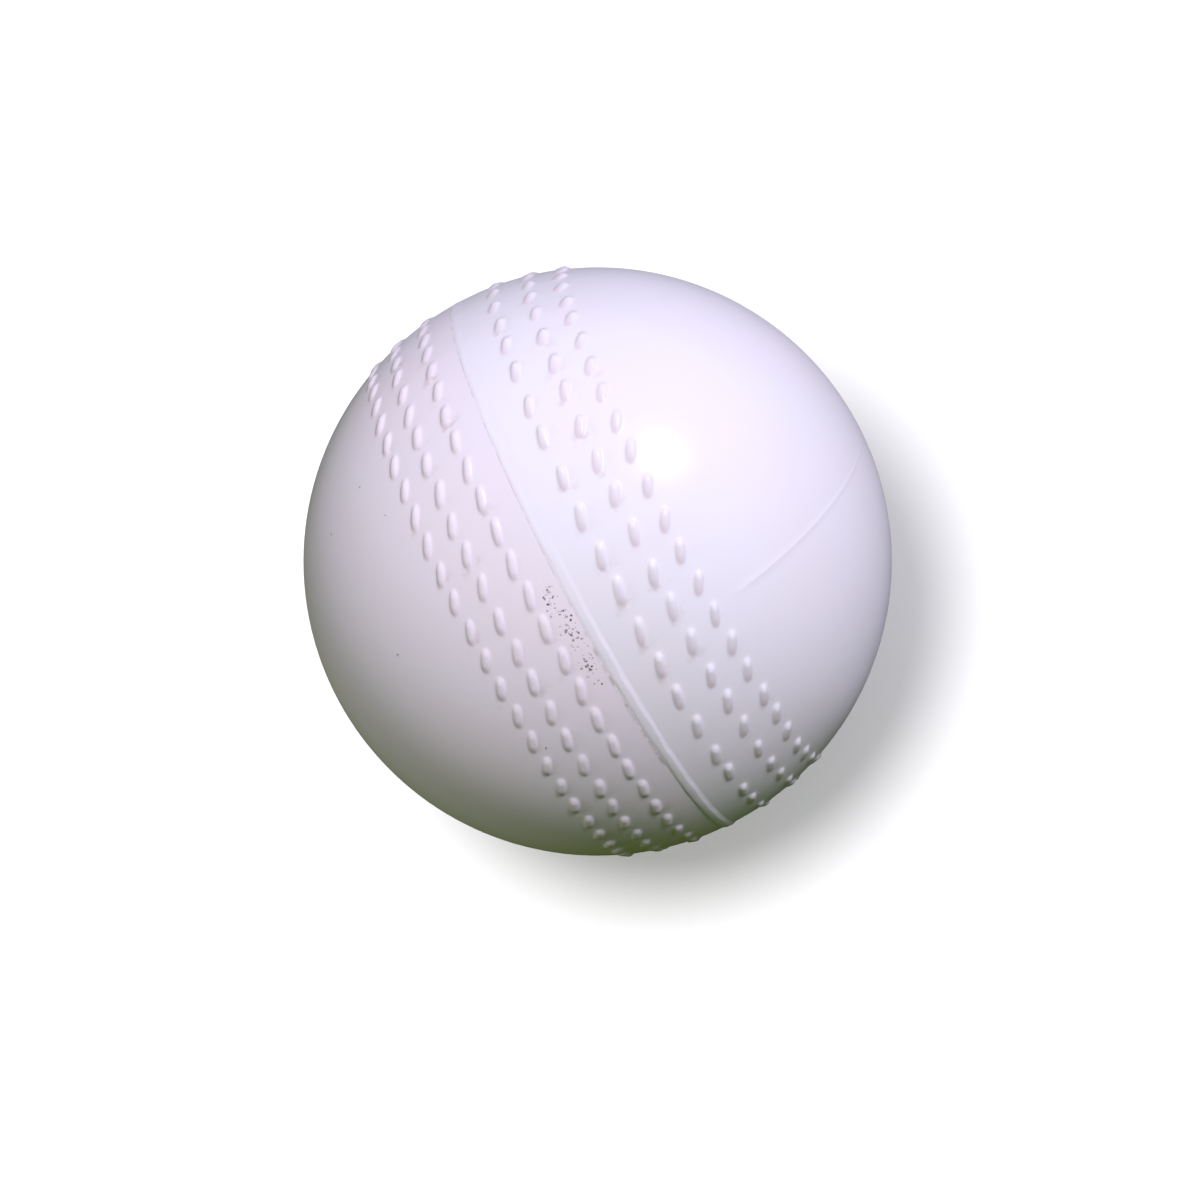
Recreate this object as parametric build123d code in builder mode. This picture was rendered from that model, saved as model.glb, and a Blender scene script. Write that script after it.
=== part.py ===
"""Hollow moulded practice ball with a raised seam and moulded stitch rows.

Two half shells meet in the seam plane with a tongue-and-groove joint. A ring of remelted
plastic between the tongue's tip and the groove's floor holds them together, and a trimmed
bead fills the vee round the outside of the seam and stands proud of it as the ball's seam.

The origin is the ball's centre. +X runs along the seam's axis, from the left half to the
right half, the seam lies in the YZ plane, and +Z is up. Lengths are in millimetres and
angles in degrees.
"""

import os
from math import degrees, sqrt

from build123d import *

# Shell
ball_diameter = 72.0  # over the smooth shell, which is the size at the two poles
wall = 4.0

# Tongue on the left half, groove in the right half
tongue_thickness = 1.4
tongue_length = 2.5
tongue_lead_in = 0.2
joint_clearance = 0.05  # on each side of the tongue
weld_thickness = 0.5  # from the tongue's tip to the groove's floor

# Trimmed bead round the seam
bead_width = 1.6
bead_height = 0.2  # above the shell
bead_root_depth = 0.6  # of the vee that it fills
bead_edge_radius = 0.12

# One moulded stitch: a pad with round ends and rounded shoulders
stitch_width = 1.35
stitch_height = 0.3  # above the shell
stitch_shoulder_radius = 0.5
stitch_root_depth = 0.4  # sunk in the wall, so that the pad and the wall are one piece

# Rows of stitches, the first one nearest to the seam. Offsets run along the shell from the
# seam, leans are from the seam's own direction, and first angles are about +X from +Y.
first_row_offset = 4.7
second_row_offset = 9.15
third_row_offset = 13.1
first_row_stitch_length = 3.6
second_row_stitch_length = 3.5
third_row_stitch_length = 3.3
first_row_lean = 17.0
second_row_lean = 21.0
third_row_lean = 26.0
left_counts = (54, 53, 56)
right_counts = (45, 46, 50)
left_first_angles = (116.0, 117.5, 117.0)
right_first_angles = (115.0, 114.8, 114.6)

# Sizes that follow from those above
ball_radius = ball_diameter / 2
cavity_radius = ball_radius - wall
groove_width = tongue_thickness + 2 * joint_clearance
groove_depth = tongue_length + weld_thickness
bead_root_radius = ball_radius - bead_root_depth
bead_foot_radius = sqrt(ball_radius**2 - (bead_width / 2) ** 2)
bead_top_radius = ball_radius + bead_height
# The groove is centred between the cavity and the bead's root.
rim_land = (wall - bead_root_depth - groove_width) / 2
groove_inner_radius = cavity_radius + rim_land
tongue_inner_radius = groove_inner_radius + joint_clearance

row_offsets = (first_row_offset, second_row_offset, third_row_offset)
row_stitch_lengths = (first_row_stitch_length, second_row_stitch_length, third_row_stitch_length)
row_leans = (first_row_lean, second_row_lean, third_row_lean)
row_latitudes = [degrees(offset / ball_radius) for offset in row_offsets]

# The side of the seam that a half is on, along X
LEFT, RIGHT = -1, 1


def draw_half_wall(side):
    """Draw the section of one half's wall above the seam's axis, without its joint."""
    Circle(ball_radius)
    Circle(cavity_radius, mode=Mode.SUBTRACT)
    away_from_seam = Align.MAX if side == LEFT else Align.MIN
    Rectangle(ball_radius, ball_radius, align=(away_from_seam, Align.MIN), mode=Mode.INTERSECT)
    draw_bead_section(mode=Mode.SUBTRACT)


def draw_bead_section(mode=Mode.ADD):
    """Draw the section of the seam bead: a vee root under an upright rib."""
    half_width = bead_width / 2
    Polygon(
        (0, bead_root_radius),
        (half_width, bead_foot_radius),
        (half_width, bead_top_radius),
        (-half_width, bead_top_radius),
        (-half_width, bead_foot_radius),
        align=None,
        mode=mode,
    )


def make_stitch(length):
    """Make one stitch, with its middle on the shell, its length along Y and its top towards +X."""
    with BuildPart() as stitch:
        with BuildSketch(Plane.YZ.offset(-stitch_root_depth)):
            SlotOverall(length, stitch_width)
        extrude(amount=stitch_root_depth + stitch_height)
        fillet(stitch.faces().sort_by(Axis.X)[-1].edges(), radius=stitch_shoulder_radius)
    return stitch.part


def add_stitch_rows(side, counts, first_angles):
    """Add the three rows of moulded stitches to the half shell that is being built."""
    rows = zip(row_stitches, row_latitudes, row_leans, counts, first_angles)
    for row_stitch, latitude, lean, count, first_angle in rows:
        with Locations(Plane.YZ):
            with PolarLocations(0, count, start_angle=first_angle):
                with Locations(Location((0, 0, 0), (0, -side * latitude, 0))):
                    with Locations((ball_radius, 0, 0)):
                        add(row_stitch, rotation=(-lean, 0, 0))


# One stitch for each row
row_stitches = [make_stitch(length) for length in row_stitch_lengths]

# Left half: smooth cap, three stitch rows and the tongue
with BuildPart() as left_half_shell:
    with BuildSketch() as left_section:
        draw_half_wall(LEFT)
        with Locations((0, tongue_inner_radius)):
            Rectangle(tongue_length, tongue_thickness, align=Align.MIN)
        chamfer(left_section.vertices().group_by(Axis.X)[-1], length=tongue_lead_in)
    revolve(axis=Axis.X)
    add_stitch_rows(LEFT, left_counts, left_first_angles)
left_half_shell.part.label = "left_half_shell"

# Right half: smooth cap, three stitch rows and the groove
with BuildPart() as right_half_shell:
    with BuildSketch():
        draw_half_wall(RIGHT)
        with Locations((0, groove_inner_radius)):
            Rectangle(groove_depth, groove_width, align=Align.MIN, mode=Mode.SUBTRACT)
    revolve(axis=Axis.X)
    add_stitch_rows(RIGHT, right_counts, right_first_angles)
right_half_shell.part.label = "right_half_shell"

# Remelted ring that joins the tongue's tip to the groove's floor and walls
with BuildPart() as groove_weld:
    with BuildSketch():
        with Locations((tongue_length, groove_inner_radius)):
            Rectangle(weld_thickness, groove_width, align=Align.MIN)
    revolve(axis=Axis.X)
groove_weld.part.label = "groove_weld"

# Bead in the vee between the two halves, trimmed to a low rib with rounded edges
with BuildPart() as seam_bead:
    with BuildSketch() as bead_section:
        draw_bead_section()
        fillet(bead_section.vertices().group_by(Axis.Y)[-1], radius=bead_edge_radius)
    revolve(axis=Axis.X)
seam_bead.part.label = "seam_bead"

os.makedirs("parts", exist_ok=True)
export_step(left_half_shell.part, "parts/left_half_shell.step")
export_step(right_half_shell.part, "parts/right_half_shell.step")
export_step(groove_weld.part, "parts/groove_weld.step")
export_step(seam_bead.part, "parts/seam_bead.step")
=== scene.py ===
"""Looks of the hollow moulded practice ball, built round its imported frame.

The frame is in metres. The origin is the ball's centre, +X runs along the seam's axis to the right
half, the seam lies in the YZ plane and +Z is up. A place on the shell is given by its angle about
+X, from +Y, and by its distance from the seam along the shell.
"""

import math
from collections import namedtuple

import bmesh
import bpy
from mathutils import Matrix, Vector


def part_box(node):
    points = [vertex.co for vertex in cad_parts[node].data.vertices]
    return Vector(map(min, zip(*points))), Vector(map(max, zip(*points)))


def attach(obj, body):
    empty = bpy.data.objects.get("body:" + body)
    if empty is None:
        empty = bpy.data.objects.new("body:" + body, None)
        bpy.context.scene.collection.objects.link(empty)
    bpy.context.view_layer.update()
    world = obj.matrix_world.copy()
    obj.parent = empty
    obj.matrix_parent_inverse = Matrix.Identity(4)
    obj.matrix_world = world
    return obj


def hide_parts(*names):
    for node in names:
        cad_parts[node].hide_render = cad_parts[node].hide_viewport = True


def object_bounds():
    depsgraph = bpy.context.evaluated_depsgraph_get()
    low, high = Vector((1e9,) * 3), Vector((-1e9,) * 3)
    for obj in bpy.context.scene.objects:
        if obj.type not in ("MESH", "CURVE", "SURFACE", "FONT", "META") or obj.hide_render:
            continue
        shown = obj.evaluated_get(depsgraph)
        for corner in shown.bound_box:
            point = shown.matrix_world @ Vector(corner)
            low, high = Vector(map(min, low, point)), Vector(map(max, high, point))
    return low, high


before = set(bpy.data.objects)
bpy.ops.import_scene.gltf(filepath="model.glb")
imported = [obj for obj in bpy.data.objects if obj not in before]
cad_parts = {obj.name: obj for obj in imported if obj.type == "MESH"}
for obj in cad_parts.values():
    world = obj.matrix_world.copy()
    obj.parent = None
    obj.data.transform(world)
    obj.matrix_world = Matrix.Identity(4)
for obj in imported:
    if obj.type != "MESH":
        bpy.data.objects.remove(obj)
cad_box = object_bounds()

MM = 0.001
FULL_TURN = 2 * math.pi
QUARTER_TURN = math.pi / 2
LEFT, RIGHT = -1, 1

# Sizes that the frame gives
BALL_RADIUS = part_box("right_half_shell")[1].x
BEAD_HALF_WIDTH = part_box("seam_bead")[1].x
BEAD_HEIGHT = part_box("seam_bead")[1].y - BALL_RADIUS
TONGUE_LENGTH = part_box("groove_weld")[0].x
GROOVE_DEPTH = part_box("groove_weld")[1].x
GROOVE_OUTER_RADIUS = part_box("groove_weld")[1].y
FLOOR_HEIGHT = cad_box[0].z

# Sizes inside the seam that the boxes don't give
WALL = 4.0 * MM
BEAD_ROOT_DEPTH = 0.6 * MM
GROOVE_WIDTH = 1.5 * MM
TONGUE_CLEARANCE = 0.05 * MM
TONGUE_LEAD_IN = 0.2 * MM

# One stitch's pad, as loops from its foot to its top. A loop's distances run outwards from the pad's
# outline, at its sides and its ends. Its height is a share of the stitch's height, and its foot is
# the share of dirt and painted shade that it holds. The pad's sides are steeper than its ends.
STITCH_WIDTH = 1.35 * MM
STITCH_HEIGHT = 0.3 * MM
PAD_SKIRT = 0.25 * MM
PadLoop = namedtuple("PadLoop", "at_sides at_ends height foot")
PAD_LOOPS = (
    PadLoop(at_sides=PAD_SKIRT, at_ends=PAD_SKIRT, height=0.0, foot=0.7),
    PadLoop(at_sides=0.0, at_ends=0.0, height=0.08, foot=1.0),
    PadLoop(at_sides=-0.13 * MM, at_ends=-0.28 * MM, height=0.47, foot=0.6),
    PadLoop(at_sides=-0.32 * MM, at_ends=-0.68 * MM, height=0.88, foot=0.1),
    PadLoop(at_sides=-0.55 * MM, at_ends=-1.05 * MM, height=1.07, foot=0.0),
)
PAD_END_STRETCH = 1.08
PAD_CORNER_ALONG = 0.76
PAD_CORNER_ACROSS = 0.64
PAD_TAPER = 0.12
# How high the middle of a pad is, and how much more its first end, as shares of the stitch's height
PAD_MIDDLES = {LEFT: 1.0, RIGHT: 0.95}
PAD_SLOPES = {LEFT: 0.1, RIGHT: 0.65}
LONG_SIDE_STEPS = 6
SHORT_SIDE_STEPS = 2
# Share of painted shade on the middle of a pad, and how it changes along the pad and across it
PAINTED_SHADE_MIDDLE = 0.3
PAINTED_SHADE_ALONG = 1.3
PAINTED_SHADE_ACROSS = 0.5

# How single stitches differ from the rule. Lengths, widths and heights are shares of the rule's.
STITCH_SIDEWAYS = (-0.12 * MM, 0.12 * MM)
STITCH_TURNS = (-0.07, 0.07)
STITCH_LENGTHS = (0.93, 1.03)
STITCH_WIDTHS = (0.9, 1.04)
STITCH_HEIGHTS = (0.82, 1.02)
STRAY_SHARE_OF_ROOM = 0.85
STRAY_DRAW, SIDEWAYS_DRAW, TURN_DRAW, LENGTH_DRAW, WIDTH_DRAW, HEIGHT_DRAW, GRIME_AND_SHADE_DRAW = range(7)

# Rows of stitches, from the seam outwards. A band is the strip of skin that a row is moulded in.
StitchRow = namedtuple("StitchRow", "offset length lean band counts first_angles")
ROWS = (
    StitchRow(
        offset=4.7 * MM,
        length=3.6 * MM,
        lean=math.radians(17),
        band=(2.7 * MM, 6.65 * MM),
        counts={LEFT: 54, RIGHT: 45},
        first_angles={LEFT: math.radians(116.0), RIGHT: math.radians(115.0)},
    ),
    StitchRow(
        offset=9.15 * MM,
        length=3.5 * MM,
        lean=math.radians(21),
        band=(7.15 * MM, 10.95 * MM),
        counts={LEFT: 53, RIGHT: 46},
        first_angles={LEFT: math.radians(117.5), RIGHT: math.radians(114.8)},
    ),
    StitchRow(
        offset=13.1 * MM,
        length=3.3 * MM,
        lean=math.radians(26),
        band=(11.35 * MM, 15.0 * MM),
        counts={LEFT: 56, RIGHT: 50},
        first_angles={LEFT: math.radians(117.0), RIGHT: math.radians(114.6)},
    ),
)
ROW_SEEDS = {LEFT: 11, RIGHT: 47}
ROW_SEED_STEP = 10
# Points with less grip than this are the cell's outer edge, which subdivision leaves in place.
EDGE_GRIP = 0.25
MERGE_DISTANCE = 0.001 * MM
EDGE_TOLERANCE = 0.01 * MM

# Plain stretches of the shell
TURNED_STEPS = 180
CAP_STEP = math.radians(2)
CAP_START = 15.5 * MM
CAVITY_STEP = math.radians(6)

# Witness line that the mould leaves along a meridian of the right half
MOULD_LINE_ANGLE = math.radians(135)
MOULD_LINE_HALF_WIDTH = 0.09 * MM
MOULD_LINE_HEIGHT = 0.022 * MM
MOULD_LINE_FADE = 1.2 * MM
MOULD_LINE_END = math.radians(84)
MOULD_LINE_MOST_OF_COLUMN = 0.45

# Seam bead, trimmed by hand. A corner of its section is given by shares of the bead's half width
# and height, and by how far it follows the left edge, the right edge and the top where they waver.
BeadCorner = namedtuple("BeadCorner", "across height left right top")
BEAD_SECTION = (
    BeadCorner(1.0, 0.0, 0.0, 0.0, 0.0),
    BeadCorner(0.86, 0.14, 0.0, 0.4, 0.0),
    BeadCorner(0.66, 0.52, 0.0, 1.0, 0.2),
    BeadCorner(0.48, 0.86, 0.0, 1.0, 0.5),
    BeadCorner(0.28, 1.0, 0.0, 0.6, 0.9),
    BeadCorner(-0.15, 0.95, 0.0, 0.0, 1.0),
    BeadCorner(-0.6, 0.92, 0.8, 0.0, 1.0),
    BeadCorner(-0.8, 0.66, 1.0, 0.0, 0.5),
    BeadCorner(-0.92, 0.22, 0.6, 0.0, 0.0),
    BeadCorner(-1.0, 0.0, 0.0, 0.0, 0.0),
)
BEAD_STEPS = 720
BEAD_SEED = 5
BEAD_EDGE_WAVER = 0.2 * MM
BEAD_TOP_WAVER = 0.05 * MM
Waver = namedtuple("Waver", "scale number")
LEFT_WAVER = Waver(scale=14.0, number=3)
RIGHT_WAVER = Waver(scale=9.0, number=17)
TOP_WAVER = Waver(scale=11.0, number=29)
WAVER_RANGE = (0.25, 0.75)

# The bead is trimmed lowest at one angle. Its share of the full height goes from lowest to highest
# between two cosines of the turn from that angle.
BEAD_LOW_ANGLE = math.radians(60)
BeadTrim = namedtuple("BeadTrim", "from_cosine to_cosine lowest highest")
LEFT_TRIM = BeadTrim(from_cosine=0.93, to_cosine=0.14, lowest=0.42, highest=0.8)
RIGHT_TRIM = BeadTrim(from_cosine=0.77, to_cosine=0.32, lowest=0.0, highest=1.0)


class Wiring:
    """Adds nodes to one tree and links them, so that a tree reads as a list of steps."""

    def __init__(self, tree):
        self.tree = tree

    def add(self, kind, inputs=None, **settings):
        node = self.tree.nodes.new(kind)
        for name, value in settings.items():
            setattr(node, name, value)
        for key, value in (inputs or {}).items():
            self.feed(node.inputs[key], value)
        return node

    def feed(self, socket, value):
        if isinstance(value, bpy.types.Node):
            value = next(output for output in value.outputs if output.enabled)
        if isinstance(value, bpy.types.NodeSocket):
            self.tree.links.new(value, socket)
        else:
            socket.default_value = value

    def math(self, operation, *values):
        return self.add("ShaderNodeMath", dict(enumerate(values)), operation=operation).outputs[0]

    def vector(self, x=0.0, y=0.0, z=0.0):
        return self.add("ShaderNodeCombineXYZ", {"X": x, "Y": y, "Z": z}).outputs[0]

    def vector_math(self, operation, *values):
        inputs = dict(enumerate(values))
        return self.add("ShaderNodeVectorMath", inputs, operation=operation).outputs[0]

    def split(self, vector):
        return self.add("ShaderNodeSeparateXYZ", {"Vector": vector}).outputs

    def mix(self, share, first, second):
        inputs = {"Factor": share, "A": first, "B": second}
        return self.add("ShaderNodeMix", inputs, data_type="FLOAT").outputs[0]

    def mix_colour(self, share, first, second):
        node = self.add("ShaderNodeMix", {0: share}, data_type="RGBA")
        colours = [socket for socket in node.inputs if socket.enabled and socket.name in "AB"]
        self.feed(colours[0], first)
        self.feed(colours[1], second)
        return next(socket for socket in node.outputs if socket.enabled)

    def ramp(self, value, low, high, out_low=0.0, out_high=1.0):
        inputs = {
            "Value": value,
            "From Min": low,
            "From Max": high,
            "To Min": out_low,
            "To Max": out_high,
        }
        return self.add("ShaderNodeMapRange", inputs, interpolation_type="SMOOTHSTEP").outputs[0]

    def noise(self, vector, scale, detail=2.0, roughness=0.5):
        inputs = {"Vector": vector, "Scale": scale, "Detail": detail, "Roughness": roughness}
        return self.add("ShaderNodeTexNoise", inputs).outputs["Fac"]

    def turn_about_z(self, vector, angle):
        inputs = {"Vector": vector, "Angle": angle}
        return self.add("ShaderNodeVectorRotate", inputs, rotation_type="Z_AXIS").outputs[0]

    def attribute(self, name, data_type="FLOAT"):
        node = self.add("GeometryNodeInputNamedAttribute", {"Name": name}, data_type=data_type)
        return node.outputs[0]

    def store(self, geometry, name, value, data_type="FLOAT"):
        inputs = {"Geometry": geometry, "Name": name, "Value": value}
        settings = {"data_type": data_type, "domain": "POINT"}
        return self.add("GeometryNodeStoreNamedAttribute", inputs, **settings)

    def random(self, low, high, which, seed):
        # Inputs 2 and 3 and output 1 are the node's sockets for plain numbers.
        inputs = {2: low, 3: high, "ID": which, "Seed": seed}
        return self.add("FunctionNodeRandomValue", inputs, data_type="FLOAT").outputs[1]


def new_tree(name, kind, inputs, outputs):
    """Make a node tree with named sockets, and return its wiring, its inputs and its outputs."""
    tree = bpy.data.node_groups.new(name, kind)
    for in_out, sockets in (("INPUT", inputs), ("OUTPUT", outputs)):
        for socket_name, value_kind in sockets:
            socket_type = "NodeSocket" + value_kind
            tree.interface.new_socket(socket_name, in_out=in_out, socket_type=socket_type)
    wiring = Wiring(tree)
    given = wiring.add("NodeGroupInput").outputs
    result = wiring.add("NodeGroupOutput").inputs
    return wiring, given, result


# Shapes


def wrap_on_ball_tree():
    """Tree that lays a flat point on the ball: x along the seam, y towards +X and z outwards."""
    w, given, result = new_tree(
        "wrap_on_ball",
        "GeometryNodeTree",
        [("Flat", "Vector"), ("Angle", "Float"), ("Latitude", "Float"), ("Radius", "Float")],
        [("Position", "Vector")],
    )
    x, y, z = w.split(given["Flat"])
    ring_radius = w.math("MULTIPLY", given["Radius"], w.math("COSINE", given["Latitude"]))
    angle = w.math("ADD", given["Angle"], w.math("DIVIDE", x, ring_radius))
    latitude = w.math("ADD", given["Latitude"], w.math("DIVIDE", y, given["Radius"]))
    radius = w.math("ADD", given["Radius"], z)
    from_axis = w.math("MULTIPLY", radius, w.math("COSINE", latitude))
    position = w.vector(
        w.math("MULTIPLY", radius, w.math("SINE", latitude)),
        w.math("MULTIPLY", from_axis, w.math("COSINE", angle)),
        w.math("MULTIPLY", from_axis, w.math("SINE", angle)),
    )
    w.feed(result["Position"], position)
    return w.tree


def numbered_copies(w, cell, count):
    """Copy a flat cell count times, each copy with its own number, and make the copies one mesh."""
    points = w.add("GeometryNodePoints", {"Count": count})
    numbered = w.store(points, "which", w.add("GeometryNodeInputIndex"), data_type="INT")
    copies = w.add("GeometryNodeInstanceOnPoints", {"Points": numbered, "Instance": cell})
    return w.add("GeometryNodeRealizeInstances", {"Geometry": copies})


def wrapped_skin(w, skin, flat, angle, latitude, radius, material):
    """Lay the copies on the ball, close them into one ring and give them their material."""
    inputs = {"Flat": flat, "Angle": angle, "Latitude": latitude, "Radius": radius}
    wrap = w.add("GeometryNodeGroup", inputs, node_tree=WRAP_ON_BALL)
    laid = w.add("GeometryNodeSetPosition", {"Geometry": skin, "Position": wrap})
    closed = w.add("GeometryNodeMergeByDistance", {"Geometry": laid, "Distance": MERGE_DISTANCE})
    smooth = w.add("GeometryNodeSetShadeSmooth", {"Geometry": closed})
    return w.add("GeometryNodeSetMaterial", {"Geometry": smooth, "Material": material})


def stitch_row_tree():
    """Tree that repeats one stitch cell round the ball, each stitch a little different."""
    w, given, result = new_tree(
        "stitch_row",
        "GeometryNodeTree",
        [
            ("Cell", "Object"),
            ("Count", "Int"),
            ("First Angle", "Float"),
            ("Latitude", "Float"),
            ("Radius", "Float"),
            ("Lean", "Float"),
            ("Nudge", "Float"),
            ("Seed", "Int"),
            ("Material", "Material"),
        ],
        [("Geometry", "Geometry")],
    )
    cage = w.add("GeometryNodeObjectInfo", {"Object": given["Cell"]}).outputs["Geometry"]
    which = w.attribute("which", data_type="INT")
    grip = w.attribute("grip")
    share = w.attribute("share")
    at_edge = w.math("LESS_THAN", grip, EDGE_GRIP)
    inputs = {"Mesh": cage, "Level": 1, "Vertex Crease": at_edge}
    cell = w.add("GeometryNodeSubdivisionSurface", inputs)
    skin = numbered_copies(w, cell, given["Count"])

    def by_stitch(low, high, draw, of_stitch=which):
        return w.random(low, high, of_stitch, w.math("ADD", given["Seed"], draw))

    # A stitch strays along its row, and the skin between two stitches follows both of them.
    beside = w.math("ADD", which, w.math("SIGN", share))
    beside = w.math("FLOORED_MODULO", beside, given["Count"])
    own_stray = by_stitch(-1.0, 1.0, STRAY_DRAW)
    stray_beside = by_stitch(-1.0, 1.0, STRAY_DRAW, of_stitch=beside)
    stray_between = w.mix(w.math("ABSOLUTE", share), own_stray, stray_beside)
    stray = w.math("MULTIPLY", w.mix(grip, stray_between, own_stray), given["Nudge"])
    sideways = w.math("MULTIPLY", by_stitch(*STITCH_SIDEWAYS, SIDEWAYS_DRAW), grip)

    # Its length, width, height and lean vary too.
    turn = w.math("MULTIPLY", by_stitch(*STITCH_TURNS, TURN_DRAW), grip)
    size = w.vector(
        w.mix(grip, 1.0, by_stitch(*STITCH_LENGTHS, LENGTH_DRAW)),
        w.mix(grip, 1.0, by_stitch(*STITCH_WIDTHS, WIDTH_DRAW)),
        by_stitch(*STITCH_HEIGHTS, HEIGHT_DRAW),
    )
    along_stitch = w.turn_about_z(w.add("GeometryNodeInputPosition"), given["Lean"])
    sized = w.vector_math("MULTIPLY", along_stitch, size)
    leaning = w.turn_about_z(sized, w.math("MULTIPLY", w.math("ADD", given["Lean"], turn), -1.0))
    flat = w.vector_math("ADD", leaning, w.vector(stray, sideways, 0.0))

    step = w.math("DIVIDE", FULL_TURN, given["Count"])
    angle = w.math("ADD", given["First Angle"], w.math("MULTIPLY", which, step))
    # Dirt and painted shade at the feet of some stitches, darkest towards their last ends
    grime_and_shade_share = w.math("POWER", by_stitch(0.0, 1.0, GRIME_AND_SHADE_DRAW), 2.0)
    grime = w.math("MULTIPLY", w.attribute("foot"), grime_and_shade_share)
    grimed_and_shaded = w.store(skin, "grime", grime)
    wrapped = wrapped_skin(
        w, grimed_and_shaded, flat, angle, given["Latitude"], given["Radius"], given["Material"]
    )
    w.feed(result["Geometry"], wrapped)
    return w.tree


def new_object(name, mesh):
    piece = bpy.data.objects.new(name, mesh)
    bpy.context.scene.collection.objects.link(piece)
    return piece


def grown_mesh(name, tree, values):
    """Run a Geometry Nodes tree with named values, and return what it makes as a plain mesh."""
    grower = new_object(name, bpy.data.meshes.new(name))
    modifier = grower.modifiers.new(tree.name, "NODES")
    modifier.node_group = tree
    for socket in tree.interface.items_tree:
        if socket.in_out == "INPUT":
            modifier[socket.identifier] = values[socket.name]
    evaluated = grower.evaluated_get(bpy.context.evaluated_depsgraph_get())
    mesh = bpy.data.meshes.new_from_object(evaluated)
    bpy.data.objects.remove(grower)
    return mesh


def finished_piece(name, mesh, material, helpers):
    """Make a piece of a mesh, without the helper weights that it was grown with."""
    for helper in helpers:
        mesh.attributes.remove(mesh.attributes[helper])
    mesh.materials.clear()
    mesh.materials.append(material)
    return new_object(name, mesh)


def cell_object(name, points, faces, weights):
    """Make a flat cell from its points and faces, with named weights on its points."""
    mesh = bpy.data.meshes.new(name)
    mesh.from_pydata(points, [], faces)
    for weight_name, values in weights.items():
        mesh.attributes.new(weight_name, "FLOAT", "POINT").data.foreach_set("value", values)
    return new_object(name, mesh)


def pad_outline(half_length, half_width):
    """Points round a stitch's pad, from its lower left corner. It is widest in the middle."""
    half_straight = half_length - half_width
    side_steps = LONG_SIDE_STEPS - 2
    shares = [2 * i / side_steps - 1 for i in range(side_steps + 1)]
    side = [(half_straight * share, half_width * (1 - PAD_TAPER * share**2)) for share in shares]
    corner_x = half_straight + PAD_CORNER_ALONG * half_width
    corner_y = PAD_CORNER_ACROSS * half_width
    tip_x = half_straight + PAD_END_STRETCH * half_width
    lower = [(x, -y) for x, y in side]
    right_end = [(corner_x, -corner_y), (tip_x, 0.0), (corner_x, corner_y)]
    upper = [(-x, y) for x, y in side]
    left_end = [(-corner_x, corner_y), (-tip_x, 0.0)]
    return [(-corner_x, -corner_y)] + lower + right_end + upper + left_end


def cell_outline(pitch, slant, low, high):
    """Points round a stitch's cell, in step with those of the pad. Its ends slant between pads."""

    def place(across, height):
        return (across * pitch - height * slant, height)

    long_shares = [i / LONG_SIDE_STEPS for i in range(LONG_SIDE_STEPS)]
    short_shares = [i / SHORT_SIDE_STEPS for i in range(SHORT_SIDE_STEPS)]
    lower = [place(share - 0.5, low) for share in long_shares]
    right = [place(0.5, low + (high - low) * share) for share in short_shares]
    upper = [place(0.5 - share, high) for share in long_shares]
    left = [place(-0.5, high + (low - high) * share) for share in short_shares]
    return lower + right + upper + left


def painted_shade_share(row, x, y):
    """Share of painted shade at a place on a pad, more towards its last end and its lower side."""
    share = PAINTED_SHADE_MIDDLE + PAINTED_SHADE_ALONG * x / row.length - PAINTED_SHADE_ACROSS * y / STITCH_WIDTH
    return min(1.0, max(0.0, share))


def stitch_cell(row, side, pitch, slant):
    """Make the flat cell of one stitch: the skin round the pad, and the pad standing on it."""
    edges = sorted(side * (edge - row.offset) for edge in row.band)
    points = [(x, y, 0.0) for x, y in cell_outline(pitch, slant, *edges)]
    around = len(points)
    # Painted shade on the pad, more towards its last end and its lower side
    painted_shade = [0.0] * around
    feet = [0.0] * around
    lean = Matrix.Rotation(-row.lean, 2)
    slope = PAD_SLOPES[side] / (row.length / 2)
    for loop in PAD_LOOPS:
        height = loop.height * STITCH_HEIGHT
        on_pad = min(1.0, 2 * loop.height)
        for x, y in pad_outline(row.length / 2 + loop.at_ends, STITCH_WIDTH / 2 + loop.at_sides):
            place = lean @ Vector((x, y))
            points.append((*place, height * (PAD_MIDDLES[side] - slope * x)))
            painted_shade.append(on_pad * painted_shade_share(row, x, y))
            feet.append(loop.foot * max(0.0, 2 * place.x / row.length))

    faces = []
    for ring in range(len(PAD_LOOPS)):
        for i in range(around):
            here = ring * around + i
            there = ring * around + (i + 1) % around
            faces.append((here, there, there + around, here + around))
    top = len(PAD_LOOPS) * around
    last = around - SHORT_SIDE_STEPS
    for i in range(LONG_SIDE_STEPS):
        faces.append((top + i, top + i + 1, top + last - i - 1, top + last - i))
    first_of_end = LONG_SIDE_STEPS
    faces.append(tuple(top + first_of_end + i for i in range(SHORT_SIDE_STEPS + 1)))
    faces.append(tuple(top + (last + i) % around for i in range(SHORT_SIDE_STEPS + 1)))

    weights = {
        "grip": [0.0] * around + [1.0] * (len(PAD_LOOPS) * around),
        "foot": feet,
        "share": [(x + y * slant) / pitch for x, y, _ in points],
        "painted_shade": painted_shade,
    }
    return cell_object("stitch_cell", points, faces, weights)


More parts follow.
